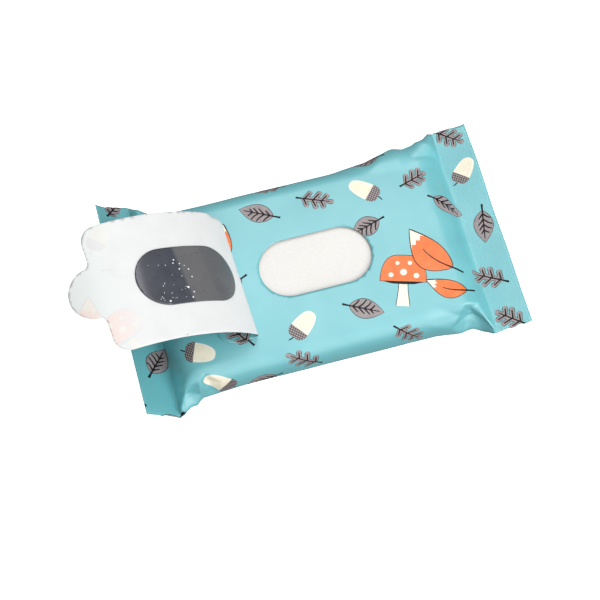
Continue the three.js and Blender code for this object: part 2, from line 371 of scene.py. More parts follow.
def wrapped(x, q):
    """The smooth pouch: the point of the flat film (x, q) once it is wrapped around and sealed."""
    full = fullness(x)
    height = SEAL_THICKNESS + (BODY_HEIGHT - SEAL_THICKNESS) * full
    sealed = np.where(x < 0, seal_height(x, LEFT_SEAL, -CUT), seal_height(x, RIGHT_SEAL, CUT))
    middle = sealed + (BODY_HEIGHT / 2 - sealed) * full
    r = np.minimum(SIDE_ROUNDING, 0.48 * height)
    half = GIRTH / 4 - height / 2 + (2 - math.pi / 2) * r
    arc = math.pi * r / 2
    flat = half - r
    s = np.abs(q)
    upper = np.clip((s - flat) / r, 0, math.pi / 2)
    side = np.clip(s - flat - arc, 0, height - 2 * r)
    lower = np.clip((s - flat - arc - (height - 2 * r)) / r, 0, math.pi / 2)
    under = np.clip(s - flat - 2 * arc - (height - 2 * r), 0, None)
    y = np.minimum(s, flat) + r * np.sin(upper) - r * (1 - np.cos(lower)) - under
    z = middle + height / 2 - r * (1 - np.cos(upper)) - side - r * np.sin(lower)
    y = y * np.where(q < 0, -1, 1)
    # The back panel steps up over the folded seam.
    below = under > 0
    step = FIN_LIFT * full * (1 - smoothstep(np.abs(y), *FIN_STEP))
    z = z + np.where(below, step, 0)
    return x, y, z


def on_fin(x, q):
    """Where the web's two edges meet they are sealed together, inside to inside, and folded flat."""
    long_way = GIRTH / 2 - FIN_ROOT
    short_way = GIRTH / 2 + FIN_ROOT
    past = np.where(q > 0, q - long_way, -q - short_way)
    return past, np.where(q > 0, *FIN_DROPS)


def pouch_base(x, q):
    """The smooth pouch with its folded back seam."""
    past, drop = on_fin(x, q)
    inside = np.where(past > 0, np.where(q > 0, q - past, q + past), q)
    px, py, pz = wrapped(x, inside)
    eased = smoothstep(past, 0, 0.8)
    return px, np.where(past > 0, py + past, py), pz - drop * eased


def facets(x, q, net):
    """Rise over a net of flat facets through given points, each (x, q, rise)."""
    corners = [Vector(point[:2]) for point in net]
    triangles = delaunay_2d_cdt(corners, [], [], 0, 1e-5, False)[2]
    rise = np.zeros_like(x)
    for a, b, c in triangles:
        (ax, aq, az), (bx, bq, bz), (cx, cq, cz) = net[a], net[b], net[c]
        area = (bx - ax) * (cq - aq) - (cx - ax) * (bq - aq)
        s = ((x - ax) * (cq - aq) - (cx - ax) * (q - aq)) / area
        t = ((bx - ax) * (q - aq) - (x - ax) * (bq - aq)) / area
        inside = (s >= 0) & (t >= 0) & (s + t <= 1)
        rise = np.where(inside, az + s * (bz - az) + t * (cz - az), rise)
    return rise


def folded(x, q, net, softness=0.28):
    """The same net with its creases rounded a little."""
    offsets = [(0, 0), (1, 0), (-1, 0), (0, 1), (0, -1), (0.7, 0.7), (-0.7, 0.7), (0.7, -0.7), (-0.7, -0.7)]
    return sum(facets(x + softness * dx, q + softness * dq, net) for dx, dq in offsets) / len(offsets)


# Nets of folds at the pouch's corners: places on the flat film, and how far each stands out.
NEAR_RIGHT = [
    (40, -30, 0), (50, -27, 0), (58, -25, 0), (66, -26, 0), (69, -36, 0), (69, -50, 0), (62, -60, 0),
    (50, -60, 0), (42, -52, 0), (38, -40, 0), (54, -34.5, 0.5), (61, -34, 0.7), (57.6, -38.2, -3),
    (57, -43.5, -3.8), (56.8, -49.5, 0.5), (52, -39.5, -0.9), (48, -46, 0.5), (52, -51, 1.4),
    (62.4, -41, 0.5), (65.6, -46, 0.2), (61.5, -51, 1.5),
]
NEAR_LEFT = [
    (-40, -36, 0), (-46, -31, 0), (-56, -28, 0), (-66.5, -30, 0), (-67.2, -36, 0), (-67.2, -52, 0),
    (-60, -62, 0), (-46, -62, 0), (-38, -48, 0), (-53.8, -35.4, 0.5), (-56.6, -39.2, 0.8),
    (-57.2, -46.2, 1.2), (-56, -50.5, 1), (-53.2, -40.4, -1.9), (-52.6, -46.5, -1),
    (-48.2, -42, 0.4), (-49.5, -50, 0.5), (-63.5, -40, -0.4), (-61.8, -44.3, -2),
    (-60, -49.2, 3.4), (-65.9, -45.8, 1.8), (-66.3, -41.5, 0.3),
]
FAR_LEFT = [
    (-46, 34, 0), (-56, 30, 0), (-66.5, 32, 0), (-68, 44, 0), (-66, 54, 0), (-56, 56, 0), (-46, 48, 0),
    (-63.5, 42, 1.4), (-60, 38.5, -1), (-57.5, 43, 0.6), (-62.5, 46.5, 0.6), (-53, 42, 0.2),
]
FAR_RIGHT = [
    (18, 42, 0), (34, 33, 0), (48, 31, 0), (60, 29, 0), (67, 34, 0), (68, 46, 0), (62, 58, 0), (46, 60, 0),
    (28, 56, 0), (34, 45, 1.6), (46.5, 44, 4.6), (50.6, 42, 3.2), (57.5, 42, 4.4), (54, 35.5, 0.6),
]


def waves(x, q, seed, length, count=7):
    """Gentle unevenness: a few sine waves in seeded directions, between -1 and 1."""
    dice = random.Random(seed)
    total = np.zeros_like(x)
    for _ in range(count):
        angle, phase = dice.uniform(0, math.pi), dice.uniform(0, 2 * math.pi)
        k = 2 * math.pi / (length * dice.uniform(0.7, 1.5))
        total += np.sin(k * (x * math.cos(angle) + q * math.sin(angle)) + phase)
    return total / count


def handled(x, q):
    """How far handling has pushed the film off its smooth shape, outwards being positive."""
    full = fullness(x)
    # Broad dents, hardly any of them under the label's turn, and short ones where the ends taper.
    quiet = 1 - 0.9 * np.exp(-(((x + 40) / 9) ** 4) - (q / 30) ** 6)
    rise = 0.3 * waves(x, q, 3, 34) * full * quiet
    rise += 0.25 * waves(x, q, 5, 9) * np.exp(-(((np.abs(x) - 60) / 6) ** 2))
    # The top falls away towards both long sides.
    reach = np.abs(q)
    rise -= 1.5 * full * smoothstep(reach, 12, 40) * (1 - smoothstep(reach, 42, 58))
    for net in (NEAR_RIGHT, NEAR_LEFT, FAR_LEFT, FAR_RIGHT):
        rise += folded(x, q, net)
    return rise


def pouch_point(flat):
    """Where each point of the flat film lies on the finished pack, in metres."""
    x, q = flat[:, 0], flat[:, 1]
    px, py, pz = pouch_base(x, q)
    tiny = 0.05
    ax, ay, az = pouch_base(x + tiny, q)
    bx, by, bz = pouch_base(x, q + tiny)
    along = np.stack([ax - px, ay - py, az - pz], -1)
    around = np.stack([bx - px, by - py, bz - pz], -1)
    normal = np.cross(along, around)
    normal /= np.maximum(np.linalg.norm(normal, axis=1, keepdims=True), 1e-9)
    loose = smoothstep(fullness(x), 0.0, 0.08)
    # The pack's own weight and the folded seam keep its underside flat.
    free = 1 - smoothstep(np.abs(q), GIRTH / 4 + 10, GIRTH / 4 + 16)
    rise = handled(x, q) * loose * free
    place = np.stack([px, py, pz], -1) + normal * rise[:, None]
    # The end seals wave a little, most at their cut edges.
    for seal, cut in ((LEFT_SEAL, -CUT), (RIGHT_SEAL, CUT)):
        part = np.clip((x - seal[0]) / (cut - seal[0]), 0, 1)
        sway = waves(px * 0.2, py, 11, 30, 4)
        place[:, 2] += 0.8 * sway * part
    # The far corner of the left seal is lifted, and the hollow beside the seal fills out towards it.
    left_part = np.clip((LEFT_SEAL[0] - px) / (LEFT_SEAL[0] + CUT), 0, 1)
    place[:, 2] += 2.0 * smoothstep(py, 5, 46) * left_part
    place[:, 2] += 5.0 * smoothstep(py, 26, 44) * np.exp(-(((px + 66) / 6.5) ** 2))
    return place * MM


# ---- the label's shape ----

PATH_STEP = 0.05


def peel_path():
    """Place and heading at each step along the peeled label, seen from its side."""
    length = LABEL_FREE + TAB_LENGTH + LABEL_HALF
    u = np.arange(0, length, PATH_STEP) + PATH_STEP / 2
    eased = 1 - np.cos(2 * np.pi * u / TURN_LENGTH)
    tight = TURN_ANGLE / TURN_LENGTH * (TURN_EASING * eased + 1 - TURN_EASING)
    bend = np.where(u < TURN_LENGTH, tight, FREE_BEND)
    heading = np.concatenate([[0], np.cumsum(bend * PATH_STEP)])
    mean = (heading[1:] + heading[:-1]) / 2
    x = np.concatenate([[0], np.cumsum(np.cos(mean) * PATH_STEP)])
    z = np.concatenate([[0], np.cumsum(np.sin(mean) * PATH_STEP)])
    return x, z, heading


PATH_X, PATH_Z, PATH_HEADING = peel_path()
PATH_U = np.arange(len(PATH_X)) * PATH_STEP


def label_point(flat, depth=0.0):
    """Where a point of the flat label lies, depth being measured towards its printed face."""
    along, across = flat[:, 0], flat[:, 1]
    c, s = math.cos(PEEL_SKEW), math.sin(PEEL_SKEW)
    u = c * along + s * across
    v = c * across - s * along
    heading = np.interp(u, PATH_U, PATH_HEADING)
    x = np.where(u < 0, u, np.interp(u, PATH_U, PATH_X)) - depth * np.sin(heading)
    # The far edge curls back where the label turns over.
    past = np.clip(v - (LABEL_HALF - EDGE_CURL), 0, 0.98 * EDGE_CURL)
    x = x - (EDGE_CURL - np.sqrt(EDGE_CURL**2 - past**2)) * np.exp(-(((u - 8) / 6) ** 4))
    z = np.interp(u, PATH_U, PATH_Z) + depth * np.cos(heading)
    place = [PEEL_X + c * x - s * v, PEEL_Y + s * x + c * v, LABEL_BASE + z]
    return np.stack(place, -1) * MM


def film_to_label(point):
    """The point of the label that lay over this point of the film before it was peeled."""
    x, y = point[0] - PEEL_X, point[1] - PEEL_Y
    c, s = math.cos(PEEL_SKEW), math.sin(PEEL_SKEW)
    return (c * x + s * y, c * y - s * x)


# ---- cutting and printing a sheet ----


def motif(kind, stem, tip, half):
    """A printed shape's regions, laid from its stem end to its tip on the flat sheet."""
    dx, dy = tip[0] - stem[0], tip[1] - stem[1]
    length = math.hypot(dx, dy)
    ux, uy = dx / length, dy / length
    return [
        ([(stem[0] + ux * x - uy * y, stem[1] + uy * x + ux * y) for x, y in loop], ink)
        for loop, ink in SHAPES[kind](length, half)
    ]


def contains(loop, points):
    """Which points lie inside a closed loop."""
    low, high = np.min(loop, axis=0), np.max(loop, axis=0)
    inside = np.zeros(len(points), bool)
    near = np.nonzero(np.all((points > low) & (points < high), axis=1))[0]
    x, y = points[near, 0], points[near, 1]
    odd = np.zeros(len(near), bool)
    for (ax, ay), (bx, by) in zip(loop, loop[1:] + loop[:1]):
        if ay != by:
            odd ^= ((ay > y) != (by > y)) & (x < ax + (y - ay) * (bx - ax) / (by - ay))
    inside[near] = odd
    return inside


def lattice(low, high, spacing):
    """Points of a triangular lattice over a rectangle."""
    rows = int((high[1] - low[1]) / (spacing * math.sqrt(3) / 2)) + 1
    columns = int((high[0] - low[0]) / spacing) + 2
    x = low[0] + spacing * (np.arange(columns)[None, :] + 0.5 * (np.arange(rows)[:, None] % 2))
    y = low[1] + spacing * math.sqrt(3) / 2 * np.arange(rows)[:, None] + 0 * x
    return np.stack([x.ravel(), y.ravel()], -1)


def cut_sheet(outline, inner_points, regions=(), holes=(), step=0.8, clearance=0.5):
    """Cuts a flat sheet to its outline and holes. Each printed region becomes faces of its own ink.

    The region loops are cut into the sheet, so that every print edge is a mesh edge. A later region
    lies over an earlier one.
    """
    loops = [densify(loop, step) for loop in [outline, *holes, *[loop for loop, _ in regions]]]
    fixed = [Vector(point) for loop in loops for point in loop]
    edges = []
    for loop in loops:
        start, count = (edges[-1][0] + 1 if edges else 0), len(loop)
        edges += [(start + i, start + (i + 1) % count) for i in range(count)]
    tree = KDTree(len(fixed))
    for i, point in enumerate(fixed):
        tree.insert(point.to_3d(), i)
    tree.balance()
    free = [Vector(p) for p in inner_points.tolist() if tree.find((*p, 0))[2] > clearance]
    points, _, triangles, *_ = delaunay_2d_cdt(fixed + free, edges, [], 0, 1e-5, False)
    places = np.array(points)
    middles = places[np.array(triangles)].mean(axis=1)
    kept = contains(outline, middles)
    for hole in holes:
        kept &= ~contains(hole, middles)
    ink = np.full(len(middles), GROUND)
    for loop, colour in regions:
        ink[contains(loop, middles)] = colour
    bm = bmesh.new()
    verts = [bm.verts.new((p.x, p.y, 0)) for p in points]
    for i in np.nonzero(kept)[0]:
        face = bm.faces.new([verts[corner] for corner in triangles[i]])
        face.material_index = int(ink[i])
        face.smooth = True
    loose = [v for v in bm.verts if not v.link_faces]
    bmesh.ops.delete(bm, geom=loose, context="VERTS")
    bmesh.ops.recalc_face_normals(bm, faces=bm.faces)
    if sum(face.normal.z for face in bm.faces) < 0:
        bmesh.ops.reverse_faces(bm, faces=bm.faces)
    return bm


UV_NAME = "flat_sheet"


def shape_sheet(bm, place):
    """Keeps each point's place on the flat sheet as its UV, in metres, then moves it to its real place."""
    layer = bm.loops.layers.uv.new(UV_NAME)
    for face in bm.faces:
        for loop in face.loops:
            loop[layer].uv = loop.vert.co.xy * MM
    flat = np.array([v.co.xy for v in bm.verts])
    for vert, co in zip(bm.verts, place(flat)):
        vert.co = co
    return bm


def finish_piece(name, bm, materials, nodes):
    """A bmesh as a named piece of the pack that stands for its frame nodes."""
    mesh = bpy.data.meshes.new(name)
    bm.to_mesh(mesh)
    bm.free()
    piece = bpy.data.objects.new(name, mesh)
    bpy.context.scene.collection.objects.link(piece)
    for material in materials:
        mesh.materials.append(material)
    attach(piece, "root")
    if nodes:
        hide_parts(*nodes)
    return piece


def thicken(piece, thickness, offset=-1, material_shift=0):
    """Gives a sheet its thickness, in metres. Its other side takes the materials listed that much later."""
    wall = piece.modifiers.new("thickness", "SOLIDIFY")
    wall.thickness = thickness
    wall.offset = offset
    wall.use_even_offset = False
    wall.material_offset = material_shift
    wall.material_offset_rim = material_shift


# ---- materials ----


def linear(hex_colour):
    """An sRGB hex colour as linear RGBA."""
    parts = [int(hex_colour[i : i + 2], 16) / 255 for i in (1, 3, 5)]
    return (*[p / 12.92 if p <= 0.04045 else ((p + 0.055) / 1.055) ** 2.4 for p in parts], 1)


def add(tree, kind, settings=None, inputs=None):
    """Adds a shader node, sets its properties and fills or links its inputs."""
    node = tree.nodes.new("ShaderNode" + kind)
    for key, value in (settings or {}).items():
        setattr(node, key, value)
    for key, value in (inputs or {}).items():
        if isinstance(value, bpy.types.NodeSocket):
            tree.links.new(value, node.inputs[key])
        else:
            node.inputs[key].default_value = value
    return node


def new_material(name, **constants):
    """A material with these values on its shader's inputs."""
    material = bpy.data.materials.new(name)
    material.use_nodes = True
    tree = material.node_tree
    shader = tree.nodes["Principled BSDF"]
    for key, value in constants.items():
        shader.inputs[key.replace("_", " ")].default_value = value
    return material, tree, shader


def flat_place(tree):
    """Each point's place on its flat sheet, in metres."""
    return add(tree, "UVMap", {"uv_map": UV_NAME}).outputs["UV"]


def noise(tree, place, millimetres, detail=2.0, roughness=0.5):
    """Cloudy unevenness about this far from patch to patch."""
    scale = 1 / (millimetres * MM)
    inputs = {"Vector": place, "Scale": scale, "Detail": detail, "Roughness": roughness}
    return add(tree, "TexNoise", None, inputs).outputs["Fac"]


def remap(tree, value, low, high, to_low=0, to_high=1):
    inputs = {"Value": value, "From Min": low, "From Max": high, "To Min": to_low, "To Max": to_high}
    return add(tree, "MapRange", None, inputs).outputs["Result"]


def mixed_colour(tree, factor, a, b):
    return add(tree, "Mix", {"data_type": "RGBA"}, {0: factor, 6: a, 7: b}).outputs[2]


def blend(tree, operation, a, b):
    return add(tree, "Math", {"operation": operation}, {0: a, 1: b}).outputs[0]


def bands(tree, place, direction, millimetres):
    """Parallel lines this far apart, across X or Y."""
    scale = math.tau / 20 / (millimetres * MM)  # a wave texture's bands are tau / 20 apart at scale 1
    inputs = {"Vector": place, "Scale": scale, "Distortion": 0.0}
    return add(tree, "TexWave", {"bands_direction": direction}, inputs).outputs["Fac"]


def relief(tree, height, strength, millimetres, under=None):
    """A shading normal for a fine relief this deep, on top of the one under it."""
    inputs = {"Height": height, "Strength": strength, "Distance": millimetres * MM}
    if under is not None:
        inputs["Normal"] = under
    return add(tree, "Bump", None, inputs).outputs["Normal"]


def connect(tree, shader, **outputs):
    """Links node outputs to the shader's inputs of these names."""
    for key, output in outputs.items():
        tree.links.new(output, shader.inputs[key.replace("_", " ")])


def film_relief(tree, shader):
    """The film's surface: faint unevenness everywhere, and the sealing jaws' fine pattern at both ends."""
    place = flat_place(tree)
    x = add(tree, "SeparateXYZ", None, {0: place}).outputs["X"]
    ribs = bands(tree, place, "X", 0.9)
    cross = bands(tree, place, "Y", 1.3)
    knurl = blend(tree, "ADD", blend(tree, "MULTIPLY", ribs, 0.75), blend(tree, "MULTIPLY", cross, 0.25))
    right = remap(tree, x, (RIGHT_SEAL[0] + 0.2) * MM, (RIGHT_SEAL[0] + 0.8) * MM)
    left = remap(tree, x, (LEFT_SEAL[0] - 0.8) * MM, (LEFT_SEAL[0] - 0.2) * MM, 1, 0)
    ribbed = blend(tree, "MULTIPLY", knurl, blend(tree, "MAXIMUM", right, left))
    uneven = relief(tree, noise(tree, place, 2.6, 3.0), 0.25, 0.06)
    roughness = remap(tree, noise(tree, place, 14), 0.3, 0.7, 0.42, 0.52)
    connect(tree, shader, Normal=relief(tree, ribbed, 0.85, 0.12, uneven), Roughness=roughness)
    return place


def printed_film(name, colour, second, patch_mm, **finish):
    """Gravure print on a polyethylene laminate: even colour, satin unless the finish says otherwise."""
    settings = {"IOR": 1.5, "Coat_Weight": 0.25, "Coat_Roughness": 0.36, **finish}
    material, tree, shader = new_material(name, **settings)
    place = film_relief(tree, shader)
    shade = remap(tree, noise(tree, place, patch_mm), 0.35, 0.65)
    connect(tree, shader, Base_Color=mixed_colour(tree, shade, colour, second))
    return material


def hatched_cup(name):
    """The acorn cups' print: two sets of crossing lines on a paler ground, 0.95 mm apart."""
    material, tree, shader = new_material(name, IOR=1.5, Coat_Weight=0.25, Coat_Roughness=0.28)
    place = film_relief(tree, shader)
    sets = []
    for angle in (35, -50):
        inputs = {"Vector": place, "Rotation": (0, 0, math.radians(angle))}
        turned = add(tree, "Mapping", None, inputs).outputs["Vector"]
        sets.append(bands(tree, turned, "X", 0.95))
    ground = remap(tree, blend(tree, "MINIMUM", *sets), 0.12, 0.4)
    connect(tree, shader, Base_Color=mixed_colour(tree, ground, linear("#2e292b"), linear("#a89a9a")))
    return material


def inks(settings):
    """The printed film's materials in the order of the ink numbers."""
    return [
        # The ground is a pearly ink, brighter where it mirrors a light.
        printed_film(
            "printed_film_turquoise", settings.film_colour[:], settings.film_shade[:], 18,
            Specular_IOR_Level=0.7, Coat_Weight=0.8, Coat_IOR=1.6, Coat_Roughness=0.38,
        ),
        printed_film(
            "printed_film_leaf_grey", linear("#968c8e"), linear("#a39999"), 2.2,
            Specular_IOR_Level=0.3, Coat_Weight=0.1,
        ),
        printed_film(
            "printed_film_line_black", linear("#151214"), linear("#1f1b1d"), 2.2,
            Specular_IOR_Level=0.2, Coat_Weight=0.0,
        ),
        printed_film("printed_film_nut_cream", linear("#f3ead0"), linear("#f7f0db"), 2.0),
        hatched_cup("printed_film_cup_brown"),
        printed_film("printed_film_orange", linear("#f0702a"), linear("#f57c36"), 3.0),
        printed_film("printed_film_cream", linear("#f6efda"), linear("#faf4e4"), 3.0),
    ]


def film_inside():
    """The laminate's metallised inner face: dark, glossy and damp, with a painted reflection in its colour.
    """
    constants = {"IOR": 1.5, "Coat_Weight": 0.6, "Coat_Roughness": 0.12}
    material, tree, shader = new_material("metallised_film_inside", **constants)
    place = flat_place(tree)
    smear = remap(tree, noise(tree, place, 7, 3.0), 0.3, 0.7)
    # Painted reflection: one half is darker, up to a slanting edge, and the other half is palest beside it.
    parts = add(tree, "SeparateXYZ", None, {0: place})
    slant = blend(tree, "MULTIPLY", parts.outputs["Y"], -0.08)
    slanted = blend(tree, "ADD", parts.outputs["X"], slant)
    darker_reflection_half = remap(tree, slanted, 38.0 * MM, 39.6 * MM)
    pale = remap(tree, slanted, 25.0 * MM, 27.5 * MM)
    reflection_band_colour = mixed_colour(tree, pale, linear("#57585b"), linear("#666668"))
    light_reflection_colour = mixed_colour(tree, smear, reflection_band_colour, linear("#606063"))
    dark_reflection_colour = mixed_colour(tree, smear, linear("#3a3c47"), linear("#464853"))
    connect(
        tree, shader,
        Base_Color=mixed_colour(tree, darker_reflection_half, light_reflection_colour, dark_reflection_colour),
        Roughness=remap(tree, noise(tree, place, 3, 3.0), 0.3, 0.7, 0.26, 0.42),
        Normal=relief(tree, noise(tree, place, 1.2, 3.0), 0.3, 0.05),
    )
    return material


def label_back(name, tint):
    """White polypropylene label, its tacky side up: matt, its print showing faintly near the free end."""
    material, tree, shader = new_material(name, IOR=1.49, Coat_Weight=0.1)
    place = flat_place(tree)
    x = add(tree, "SeparateXYZ", None, {0: place}).outputs["X"]
    mottled = remap(tree, noise(tree, place, 9, 3.0), 0.35, 0.65)
    plain = mixed_colour(tree, mottled, linear("#dedfdf"), linear("#e2e3e3"))
    near_end = remap(tree, x, 60 * MM, 72 * MM)
    connect(
        tree, shader,
        Base_Color=mixed_colour(tree, near_end, plain, linear(tint)),
        Roughness=remap(tree, noise(tree, place, 4), 0.3, 0.7, 0.42, 0.56),
        Normal=relief(tree, noise(tree, place, 1.6, 3.0), 0.2, 0.05),
    )
    return material


# How each ink tints the back of the label, in the order of the ink numbers.
BACK_TINTS = ("#e3e7e6", "#dfe1e1", "#dcdedf", "#e8e6de", "#dddddd", "#ecdcd6", "#eae6de")


def nonwoven():
    """Spunlace viscose and polyester: matt white fibres, jet lines along the cloth, damp."""
    material, tree, shader = new_material("spunlace_nonwoven", IOR=1.4, Roughness=0.82, Sheen_Weight=0.2)
    place = flat_place(tree)
    inputs = {"Vector": place, "Scale": (0.25, 1, 1)}
    fibres = noise(tree, add(tree, "Mapping", None, inputs).outputs["Vector"], 0.45, 4.0, 0.7)
    tone = remap(tree, fibres, 0.35, 0.65)
    tufted = blend(tree, "ADD", fibres, noise(tree, place, 1.8))
    connect(
        tree, shader,
        Base_Color=mixed_colour(tree, tone, linear("#e4e2de"), linear("#ebeae6")),
        Normal=relief(tree, tufted, 0.35, 0.12),
    )
    return material


def clear_lotion():
    """Drops of the wipes' lotion: mostly water, drawn white because each catches the light."""
    material, tree, shader = new_material("clear_lotion", IOR=1.34, Roughness=0.04)
    place = add(tree, "TexCoord").outputs["Object"]
    tone = remap(tree, noise(tree, place, 1.0), 0.3, 0.7)
    connect(tree, shader, Base_Color=mixed_colour(tree, tone, linear("#f2f3f5"), linear("#ffffff")))
    return material


def studio_paper():
    """A photo studio's seamless white paper, lit until it reads as white."""
    constants = {"Roughness": 0.9, "Emission_Color": (1, 1, 1, 1), "Emission_Strength": 0.95}
    material, tree, shader = new_material("seamless_white_paper", **constants)
    place = add(tree, "TexCoord").outputs["Object"]
    tone = remap(tree, noise(tree, place, 4, 3.0), 0.3, 0.7)
    connect(tree, shader, Base_Color=mixed_colour(tree, tone, linear("#fbfbfb"), linear("#ffffff")))
    return material


# ---- settings ----


def length_property(name, description, millimetres, low, high):
    return bpy.props.FloatProperty(
        name=name, description=description, default=millimetres * MM, min=low * MM, max=high * MM,
        unit="LENGTH", precision=5,
    )


def colour_property(name, description, hex_colour):
    return bpy.props.FloatVectorProperty(
        name=name, description=description, default=linear(hex_colour), min=0, max=1, size=4,
        subtype="COLOR",
    )


class WipesPackSettings(bpy.types.PropertyGroup):
    film_thickness: length_property("Film thickness", "Thickness of the pouch's film", 0.12, 0.05, 0.3)
    label_thickness: length_property("Label thickness", "Thickness of the reseal label", 0.14, 0.05, 0.25)
    mesh_spacing: length_property("Mesh spacing", "Distance between the film's mesh points", 1.3, 0.9, 3)
    film_colour: colour_property("Film colour", "Printed ground colour", "#70bfc6")
    film_shade: colour_property("Film shade", "Second ground colour that the print drifts to", "#6abac2")
    drop_count: bpy.props.IntProperty(
        name="Small drops", description="Small drops of lotion beside the larger ones",
        default=26, min=0, max=200,
    )


# ---- pieces ----


def stadium(length, width, centre, steps=40):
    """A slot's outline: straight along the pack, with a half circle at each end."""
    r = width / 2
    c = length / 2 - r
    right = [(c + r * math.cos(a), r * math.sin(a)) for a in between(-math.pi / 2, math.pi / 2, steps)]
    left = [(-x, -y) for x, y in right]
    return [(centre[0] + x, centre[1] + y) for x, y in right + left]


def scattered_print():
    """The same shapes tossed over the film's sides and back, in staggered rows."""
    dice = random.Random(21)
    kinds = ["oak", "acorn", "broad", "oak", "broad", "autumn", "acorn", "broad", "toadstool"]
    half_width = {"oak": 4.3, "acorn": 4.0, "broad": 4.2, "toadstool": 5.6, "autumn": 3.6}
    half_length = 7.4
    placed = []
    for row, row_q in enumerate([66, 84, 101, -67, -85]):
        for column in range(8):
            x = -71 + 20.5 * column + (10 if row % 2 else 0) + dice.uniform(-2, 2)
            kind = kinds[(row * 4 + column * 5) % len(kinds)]
            angle = dice.uniform(0, 2 * math.pi)
            q = row_q + dice.uniform(-1.5, 1.5)
            dx, dq = half_length * math.cos(angle), half_length * math.sin(angle)
            placed.append((kind, (x - dx, q - dq), (x + dx, q + dq), half_width[kind]))
    return placed


def near_ends(points, limit):
    """Which points lie where the ends taper and crease, up to this far from the top's middle."""
    along, around = np.abs(points[:, 0]), np.abs(points[:, 1])
    return (np.abs(along - 58.5) < 10) & (around > 24) & (around < limit)


class WIPES_OT_film_pouch(bpy.types.Operator):
    """Cuts, prints, wraps and seals the pouch's film"""

    bl_idname = "wipes.film_pouch"
    bl_label = "Film pouch"

    def execute(self, context):
        settings = context.scene.wipes_pack
        low = (-CUT, -(GIRTH / 2 + FIN_ROOT + FIN_WIDTH))
        high = (CUT, GIRTH / 2 - FIN_ROOT + FIN_WIDTH)
        outline = [low, (high[0], low[1]), high, (low[0], high[1])]
        spacing = settings.mesh_spacing / MM
        inner = lattice(low, high, spacing)
        # Nearly twice as close where the ends taper and crease, on the faces that show.
        close = lattice((-69, -58), (69, 58), spacing * 0.55)
        inner = np.concatenate([inner[~near_ends(inner, 58)], close[near_ends(close, GIRTH)]])
        regions = [r for item in PRINTED + scattered_print() for r in motif(*item)]
        opening = stadium(OPENING_LENGTH, OPENING_WIDTH, OPENING_CENTRE)
        bm = cut_sheet(outline, inner, regions, [opening], clearance=0.42 * spacing)
        shape_sheet(bm, pouch_point)
        materials = inks(settings) + [film_inside()] * INK_COUNT
        piece = finish_piece("printed_film_pouch", bm, materials, ["pouch_film"])
        thicken(piece, settings.film_thickness, material_shift=INK_COUNT)
        return {"FINISHED"}


def label_outline():
    """The label cut flat: round corners, and a round finger tab at its free end."""
    r, half = LABEL_CORNER, LABEL_HALF
    fillet, blend_in = 3.0, 0.6  # the hollow corners beside the tab, and how far the tab overlaps them
    loop = []

    def arc(cx, cy, radius, start, end, steps=10):
        for a in between(math.radians(start), math.radians(end), steps):
            loop.append((cx + radius * math.cos(a), cy + radius * math.sin(a)))

    arc(-LABEL_STUCK + r, -half + r, r, 180, 270)
    arc(LABEL_FREE - r, -half + r, r, -90, 0)
    arc(LABEL_FREE + fillet, -TAB_HALF - fillet + blend_in, fillet, 180, 110, 6)
    loop += [
        (LABEL_FREE + TAB_LENGTH * math.cos(a), TAB_HALF * math.sin(a))
        for a in between(math.radians(-76), math.radians(76), 26)
    ]
    arc(LABEL_FREE + fillet, TAB_HALF + fillet - blend_in, fillet, 250, 180, 6)
    arc(LABEL_FREE - r, half - r, r, 0, 90)
    arc(-LABEL_STUCK + r, half - r, r, 90, 180)
    return loop


class WIPES_OT_reseal_label(bpy.types.Operator):
    """Cuts and prints the reseal label and peels it back"""

    bl_idname = "wipes.reseal_label"
    bl_label = "Reseal label"

    def execute(self, context):
        settings = context.scene.wipes_pack
        low = (-LABEL_STUCK, -LABEL_HALF)
        high = (LABEL_FREE + TAB_LENGTH, LABEL_HALF)
        # The mesh is finer where the label turns over.
        turn_start, turn_end = -1, TURN_LENGTH + 2
        inner = lattice(low, high, 1.3)
        inner = inner[(inner[:, 0] < turn_start) | (inner[:, 0] > turn_end)]
        turn = lattice((turn_start, low[1]), (turn_end, high[1]), 0.7)
        regions = []
        for kind, stem, tip, half in PRINTED + LABEL_ONLY:
            regions += motif(kind, film_to_label(stem), film_to_label(tip), half)
        bm = cut_sheet(label_outline(), np.concatenate([inner, turn]), regions, clearance=0.4)
        shape_sheet(bm, lambda flat: label_point(flat, settings.label_thickness / MM))
        backs = [label_back(f"white_polypropylene_back_{i}", tint) for i, tint in enumerate(BACK_TINTS)]
        materials = inks(settings) + backs
        piece = finish_piece("peeled_reseal_label", bm, materials, ["reseal_label"])
        thicken(piece, settings.label_thickness, material_shift=INK_COUNT)
        return {"FINISHED"}


class WIPES_OT_window_cutout(bpy.types.Operator):
    """Cuts the piece of film that the label lifted out of the opening"""

    bl_idname = "wipes.window_cutout"
    bl_label = "Window cut-out"

    def execute(self, context):
        outline = stadium(OPENING_LENGTH - 2 * KERF, OPENING_WIDTH - 2 * KERF, CUTOUT_CENTRE)
        low = (CUTOUT_CENTRE[0] - OPENING_LENGTH / 2, CUTOUT_CENTRE[1] - OPENING_WIDTH / 2)
        high = (CUTOUT_CENTRE[0] + OPENING_LENGTH / 2, CUTOUT_CENTRE[1] + OPENING_WIDTH / 2)
        bm = cut_sheet(outline, lattice(low, high, 0.8), clearance=0.35)
        bmesh.ops.reverse_faces(bm, faces=bm.faces)
        shape_sheet(bm, lambda flat: label_point(flat, CUTOUT_DEPTH))
        piece = finish_piece("die_cut_window_film", bm, [film_inside()], ["window_cutout"])
        thicken(piece, CUTOUT_THICKNESS * MM)
        return {"FINISHED"}


